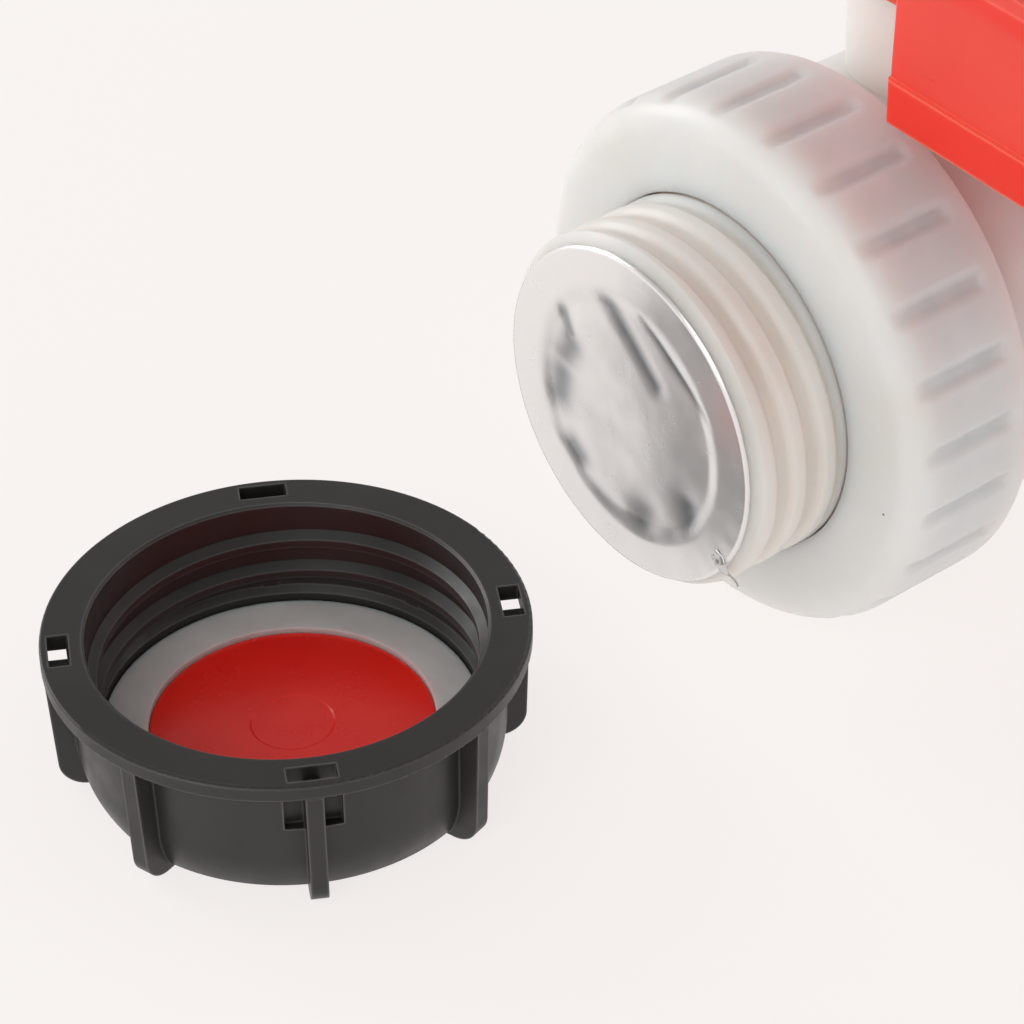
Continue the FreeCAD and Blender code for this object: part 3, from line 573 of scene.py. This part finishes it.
# ---- pieces
def make_spout():
    """Spout with a rounded right-hand thread that fades out before the mouth and the neck."""
    thread_start = SPOUT_MOUTH + SPOUT_LEAD_IN
    collar_front = SPOUT_BACK - COLLAR_THICKNESS
    groove_floor = SPOUT_BACK - FACE_GROOVE_DEPTH
    lip = SPOUT_LIP_ROUND
    outline = [
        (SPOUT_MOUTH + lip, BORE_RADIUS),
        (SPOUT_MOUTH, BORE_RADIUS + lip),
        (SPOUT_MOUTH, FOIL_RADIUS - lip),
        (SPOUT_MOUTH + 0.3 * lip, FOIL_RADIUS - 0.3 * lip),
        (SPOUT_MOUTH + lip, FOIL_RADIUS),
        (thread_start, SPOUT_THREAD_RADIUS),
        (NUT_FACE, SPOUT_THREAD_RADIUS),
        (NUT_FACE + 0.8, SPOUT_NECK_RADIUS),
        (collar_front, SPOUT_NECK_RADIUS),
        (collar_front, COLLAR_RADIUS - COLLAR_CHAMFER),
        (collar_front + COLLAR_CHAMFER, COLLAR_RADIUS),
        (SPOUT_BACK, COLLAR_RADIUS),
        (SPOUT_BACK, FACE_GROOVE_RADIUS + FACE_GROOVE_HALF),
        (groove_floor, FACE_GROOVE_RADIUS + FACE_GROOVE_HALF),
        (groove_floor, FACE_GROOVE_RADIUS - FACE_GROOVE_HALF),
        (SPOUT_BACK, FACE_GROOVE_RADIUS - FACE_GROOVE_HALF),
        (SPOUT_BACK, BORE_RADIUS),
    ]

    def threaded(along, radius, turn):
        if radius < FOIL_RADIUS + 0.2 or along > NUT_FACE:
            return radius
        phase = along / THREAD_PITCH + turn / TURN
        run = smooth(along, thread_start - 1.2, thread_start + 1.5)
        run *= 1 - smooth(along, NUT_FACE - 1.6, NUT_FACE)
        root = max(radius - SPOUT_THREAD_DEPTH, FOIL_RADIUS + 0.15)
        return radius - (radius - root) * thread_groove(phase) * run

    verts, faces = turned(divided(outline, SPOUT_STEP), SPOUT_SECTORS, flow_point, threaded)
    piece = new_piece("spout_threaded", verts, faces, SPOUT_PP, "outlet_end")
    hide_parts("outlet_spout")


def make_nut():
    """Union nut with soft-edged finger grooves outside and its thread inside."""
    seat = NUT_FACE + NUT_FRONT_WALL
    shoulder = NUT_FACE + NUT_FACE_FALL
    centre = (shoulder + NUT_SHOULDER_ROUND, NUT_RADIUS - NUT_SHOULDER_ROUND)
    back = (NUT_BACK - NUT_EDGE_ROUND, NUT_RADIUS - NUT_EDGE_ROUND)
    hole = (NUT_FACE + NUT_HOLE_ROUND, NUT_HOLE_RADIUS + NUT_HOLE_ROUND)
    outline = arc(hole, NUT_HOLE_ROUND, 270, 180, 4)
    outline += arc(centre, NUT_SHOULDER_ROUND, 180, 90, 14)
    outline += arc(back, NUT_EDGE_ROUND, 90, 0, 5)
    outline += [
        (NUT_BACK, NUT_BORE_RADIUS + NUT_BORE_CHAMFER),
        (NUT_BACK - NUT_BORE_CHAMFER, NUT_BORE_RADIUS),
        (seat, NUT_BORE_RADIUS),
        (seat, NUT_HOLE_RADIUS),
    ]
    floor = NUT_RADIUS - NUT_GROOVE_DEPTH
    groove_end = NUT_BACK - NUT_RIM

    def grooved(along, radius, turn):
        if abs(radius - NUT_BORE_RADIUS) < 0.01 and along < NUT_BACK - NUT_BORE_CHAMFER:
            phase = along / THREAD_PITCH + turn / TURN
            run = smooth(along, seat, seat + 2) * (1 - smooth(along, NUT_BACK - 2.5, NUT_BACK - 0.9))
            return radius + NUT_THREAD_DEPTH * thread_groove(phase) * run
        if radius <= floor - NUT_GROOVE_DEPTH:
            return radius
        share = ((turn - math.radians(NUT_GROOVE_TURN)) * NUT_GROOVES / TURN + 0.5) % 1.0 - 0.5
        across = abs(share) * TURN * NUT_RADIUS / NUT_GROOVES
        half = 0.5 * NUT_GROOVE_WIDTH
        pulse = 1 - smooth(across, half - 0.5 * NUT_GROOVE_BLEND, half + 0.5 * NUT_GROOVE_BLEND)
        pulse *= 1 - smooth(along, groove_end - NUT_GROOVE_BLEND, groove_end)
        return radius - pulse * max(0.0, radius - floor)

    verts, faces = turned(divided(outline, NUT_STEP), NUT_SECTORS, flow_point, grooved)
    piece = new_piece("union_nut_grooved", verts, faces, BODY_PP, "nut")
    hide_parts("union_nut")


def make_inner_threads():
    """Thread ridges moulded inside the dust cap and inside the inlet socket."""
    cap_height = CAP_TOP - CAP_FOOT
    verts, faces = helix_ridge(cap_point, CAP_MOUTH_RADIUS, CAP_THREAD_DEPTH, cap_height - CAP_THREAD_TOP,
                               CAP_THREAD_TURNS, -1)
    new_piece("cap_thread", verts, faces, BLACK_PP, "cap")
    verts, faces = helix_ridge(flow_point, INLET_THREAD_RADIUS, INLET_THREAD_DEPTH, -INLET_THREAD_START,
                               INLET_THREAD_TURNS, -1)
    new_piece("inlet_thread", verts, faces, BODY_PP, "valve_body")


# Creases of the stretched foil, pressed into the sheet and darkened with painted shade, from the centre
# of the mouth in shares of its radius: start across, start up, end across, end up, half width, depth in
# millimetres.
FOIL_CREASES = (
    (-0.70, 0.55, -0.62, 0.36, 0.055, 0.35),
    (-0.62, 0.26, -0.68, 0.16, 0.120, 0.45),
    (-0.72, -0.04, -0.74, -0.20, 0.130, 0.50),
    (-0.83, -0.58, -0.76, -0.62, 0.090, 0.40),
    (-0.60, -0.58, -0.52, -0.64, 0.100, 0.35),
    (-0.50, -0.86, -0.14, -0.98, 0.110, 0.55),
    (0.14, -0.98, 0.18, -0.74, 0.150, 0.60),
    (0.44, -0.92, 0.50, -0.84, 0.110, 0.35),
    (0.70, -0.66, 0.62, -0.44, 0.140, 0.60),
    (-0.22, 0.88, 0.28, 0.40, 0.085, 0.50),
    (0.16, 0.90, 0.92, 0.36, 0.035, 0.30),
)


def crease_at(across, up):
    """Depth in millimetres of the creases at a place in shares of the mouth, and the painted shade in them.
    """
    depth = 0.0
    painted_shade = 0.0
    for x0, z0, x1, z1, half, deep in FOIL_CREASES:
        run = Vector((x1 - x0, z1 - z0))
        reach = Vector((across - x0, up - z0))
        share = max(0.0, min(1.0, reach.dot(run) / run.length_squared))
        distance = (reach - run * share).length
        level = math.exp(-(distance / half) ** 2)
        depth += deep * level
        painted_shade = max(painted_shade, level)
    return depth, painted_shade


def foil_relief(radius, turn):
    """How far the foil stands out of the mouth's plane, and how much painted shade its crease gets."""
    across = radius * math.cos(turn) / BORE_RADIUS
    up = radius * math.sin(turn) / BORE_RADIUS
    free = 1 - smooth(radius, FOIL_FLANGE_INNER - 3.2, FOIL_FLANGE_INNER + 0.4)
    depth, painted_shade = crease_at(across, up)
    slack = noise.noise(Vector((across * 1.7, up * 1.7, 0.4))) * 0.16
    stretch = noise.noise(Vector((across * 5.0, up * 5.0, 2.4))) * 0.03
    sag = 0.45 * (1 - (radius / BORE_RADIUS) ** 2) + 0.25
    out = free * (slack + stretch - 0.45 * depth - sag)
    return out, painted_shade * free


def make_foil():
    """Foil sealed to the spout's lip: flat flange, creased membrane and an edge rolled over."""
    sectors = FOIL_SECTORS
    rings = [FOIL_RADIUS * index / FOIL_RINGS for index in range(1, FOIL_RINGS + 1)]
    verts = []
    painted_shades = []
    centre_out = foil_relief(0.0, 0.0)[0]
    for side in (0, 1):
        thickness = side * FOIL_SHEET
        verts.append(flow_point(SPOUT_END + FOIL_SHEET - centre_out + thickness, 0, 0))
        painted_shades.append(0.0)
        for radius in rings:
            for index in range(sectors):
                turn = TURN * index / sectors
                out, painted_shade = foil_relief(radius, turn)
                curl = 0.05 * noise.noise(Vector((math.cos(turn) * 7, math.sin(turn) * 7, 0.0)))
                curl *= smooth(radius, FOIL_FLANGE_INNER, FOIL_RADIUS)
                along = SPOUT_END + FOIL_SHEET - out + curl + thickness
                verts.append(flow_point(along, radius, turn))
                painted_shades.append(painted_shade)
        for index in range(sectors):
            turn = TURN * index / sectors
            curl = 0.12 * noise.noise(Vector((math.cos(turn) * 9, math.sin(turn) * 9, 3.0)))
            along = SPOUT_END + FOIL_EDGE_DROP + curl
            verts.append(flow_point(along, FOIL_RADIUS + FOIL_EDGE_OVERLAP - 0.1 * side, turn))
            # Painted shade on the rolled-over edge.
            painted_shades.append(0.3)
    ring_count = len(rings) + 1
    side_size = 1 + ring_count * sectors
    faces = []
    for side in (0, 1):
        base = side * side_size
        for index in range(sectors):
            after = (index + 1) % sectors
            faces.append((base, base + 1 + index, base + 1 + after))
            for ring in range(ring_count - 1):
                low = base + 1 + ring * sectors
                high = low + sectors
                faces.append((low + index, high + index, high + after, low + after))
    last = 1 + (ring_count - 1) * sectors
    for index in range(sectors):
        after = (index + 1) % sectors
        faces.append((last + index, last + after, side_size + last + after, side_size + last + index))
    piece = new_piece("foil_creased", verts, faces, FOIL, "outlet_end", crease=80)
    # Painted shade of the creases, kept for the foil's material.
    layer = piece.data.attributes.new("crease", "FLOAT", "POINT")
    layer.data.foreach_set("value", painted_shades)
    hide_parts("foil_seal")


def make_foil_tab():
    """Crumpled pull tab at the lower side of the rim, torn to a sliver that lies off the edge."""
    rows = 20
    columns = 8
    start_turn = math.radians(TAB_TURN)
    verts = []
    for row in range(rows + 1):
        share = row / rows
        width = TAB_SLIVER_WIDTH + TAB_WIDTH * (1 - smooth(share, 0.35, 0.7))
        for column in range(columns + 1):
            across = (column / columns - 0.5) * width - 2.0 * share * share
            crumple = noise.noise(Vector((share * 7.0, column * 0.55, 5.2)))
            radius = FOIL_RADIUS - TAB_INSET + TAB_REACH * share
            lift = 0.10 + 0.28 * crumple * (1 - smooth(share, 0.4, 0.7))
            along = SPOUT_END - max(lift, 0.02) + TAB_DROP * smooth(share, 0.4, 1.0)
            verts.append(flow_point(along, radius, start_turn + across / FOIL_RADIUS))
    faces = []
    stride = columns + 1
    for row in range(rows):
        for column in range(columns):
            low = row * stride + column
            faces.append((low, low + 1, low + stride + 1, low + stride))
    piece = new_piece("foil_tab", verts, faces, FOIL, "outlet_end", crease=60)
    thicken = piece.modifiers.new("sheet", "SOLIDIFY")
    thicken.thickness = FOIL_SHEET * MM
    # Painted shade: the tab is darkened, and darker still on its torn sliver, which stands in for its
    # shadow.
    layer = piece.data.attributes.new("crease", "FLOAT", "POINT")
    painted_shades = [0.4 + 0.5 * (index // stride > 0.6 * rows) for index in range(len(verts))]
    layer.data.foreach_set("value", painted_shades)


# ---- stage, lamps and camera
def make_floor():
    """Pale round floor that shows white to the eye and keeps a soft shadow."""
    shape = bmesh.new()
    bmesh.ops.create_circle(shape, cap_ends=True, radius=6.0, segments=96)
    mesh = bpy.data.meshes.new("floor")
    shape.to_mesh(mesh)
    shape.free()
    floor = bpy.data.objects.new("floor", mesh)
    floor.location.z = FLOOR_HEIGHT
    bpy.context.scene.collection.objects.link(floor)
    material = bpy.data.materials.new("white_table")
    material.use_nodes = True
    tree = material.node_tree
    tree.nodes.clear()
    matt = add(tree, "ShaderNodeBsdfDiffuse", {"Color": linear("#F4F1EF")})
    glow = add(tree, "ShaderNodeEmission", {"Color": linear("#FFFAF8"), "Strength": 1.0})
    seen = white_rays(tree)
    share = add(tree, "ShaderNodeMapRange", {"To Min": 0.45, "To Max": 0.80}, {"Value": (seen, 0)})
    both = add(tree, "ShaderNodeMixShader", {}, {0: (share, 0), 1: (matt, 0), 2: (glow, 0)})
    out = add(tree, "ShaderNodeOutputMaterial")
    tree.links.new(both.outputs[0], out.inputs[0])
    mesh.materials.append(material)


def white_rays(tree):
    """Number that is 1 for rays that see the white background: camera, glossy and transmitted."""
    path = add(tree, "ShaderNodeLightPath")
    first = add(tree, "ShaderNodeMath", {"operation": "MAXIMUM"},
                {0: (path, "Is Camera Ray"), 1: (path, "Is Glossy Ray")})
    return add(tree, "ShaderNodeMath", {"operation": "MAXIMUM"},
               {0: (first, 0), 1: (path, "Is Transmission Ray")})


def make_world():
    """Studio room: bright walls and a dimmer ceiling as light, plain white where it is seen."""
    world = bpy.data.worlds.new("studio")
    bpy.context.scene.world = world
    world.use_nodes = True
    tree = world.node_tree
    tree.nodes.clear()
    direction = add(tree, "ShaderNodeTexCoord")
    apart = add(tree, "ShaderNodeSeparateXYZ", {}, {0: (direction, "Generated")})
    level = add(tree, "ShaderNodeMapRange",
                {"From Min": 0.1, "From Max": 0.7, "To Min": 1.0, "To Max": 0.42},
                {"Value": (apart, "Z")})
    room = add(tree, "ShaderNodeBackground", {"Color": linear("#FFFCFA")}, {"Strength": (level, 0)})
    white = add(tree, "ShaderNodeBackground", {"Color": linear("#FFFAF8"), "Strength": 1.0})
    path = add(tree, "ShaderNodeLightPath")
    seen = add(tree, "ShaderNodeMath", {"operation": "MAXIMUM"},
               {0: (path, "Is Camera Ray"), 1: (path, "Is Transmission Ray")})
    both = add(tree, "ShaderNodeMixShader", {}, {0: (seen, 0), 1: (room, 0), 2: (white, 0)})
    out = add(tree, "ShaderNodeOutputWorld")
    tree.links.new(both.outputs[0], out.inputs[0])


def add_lamp(name, offset, size, power, target):
    """Square soft box aimed at a target."""
    light = bpy.data.lights.new(name, "AREA")
    light.size = size
    light.energy = power
    lamp = bpy.data.objects.new(name, light)
    lamp.location = target + Vector(offset)
    lamp.rotation_euler = Vector(offset).to_track_quat("Z", "Y").to_euler()
    bpy.context.scene.collection.objects.link(lamp)


def make_camera():
    """Long lens above the cap, looking down past the spout's face."""
    data = bpy.data.cameras.new("camera")
    data.sensor_width = 36.0
    data.lens = 134.16
    data.clip_start = 0.02
    data.clip_end = 50.0
    camera = bpy.data.objects.new("camera", data)
    face = Vector((0, foil_low.y, 0))
    offset = Vector((0.36609, -0.3095, 0.34331))
    forward = Vector((-0.6285, 0.4924, -0.6021)).normalized()
    level = forward.cross(Vector((0, 0, 1))).normalized()
    above = level.cross(forward)
    roll = -0.02324
    right = level * math.cos(roll) + above * math.sin(roll)
    up = above * math.cos(roll) - level * math.sin(roll)
    turn = Matrix((right, up, -forward)).transposed().to_4x4()
    camera.matrix_world = Matrix.Translation(face + offset) @ turn
    bpy.context.scene.collection.objects.link(camera)
    bpy.context.scene.camera = camera


make_camera()
make_world()
make_floor()
middle = (cad_low + cad_high) / 2
add_lamp("left_box", (-1.3, -0.5, 0.55), 0.8, 7.0, middle)
add_lamp("front_box", (0.5, -1.2, 0.9), 1.0, 6.0, middle)
finish_nodes()
make_spout()
make_nut()
make_inner_threads()
make_foil()
make_foil_tab()

bpy.context.scene.view_settings.view_transform = "Standard"
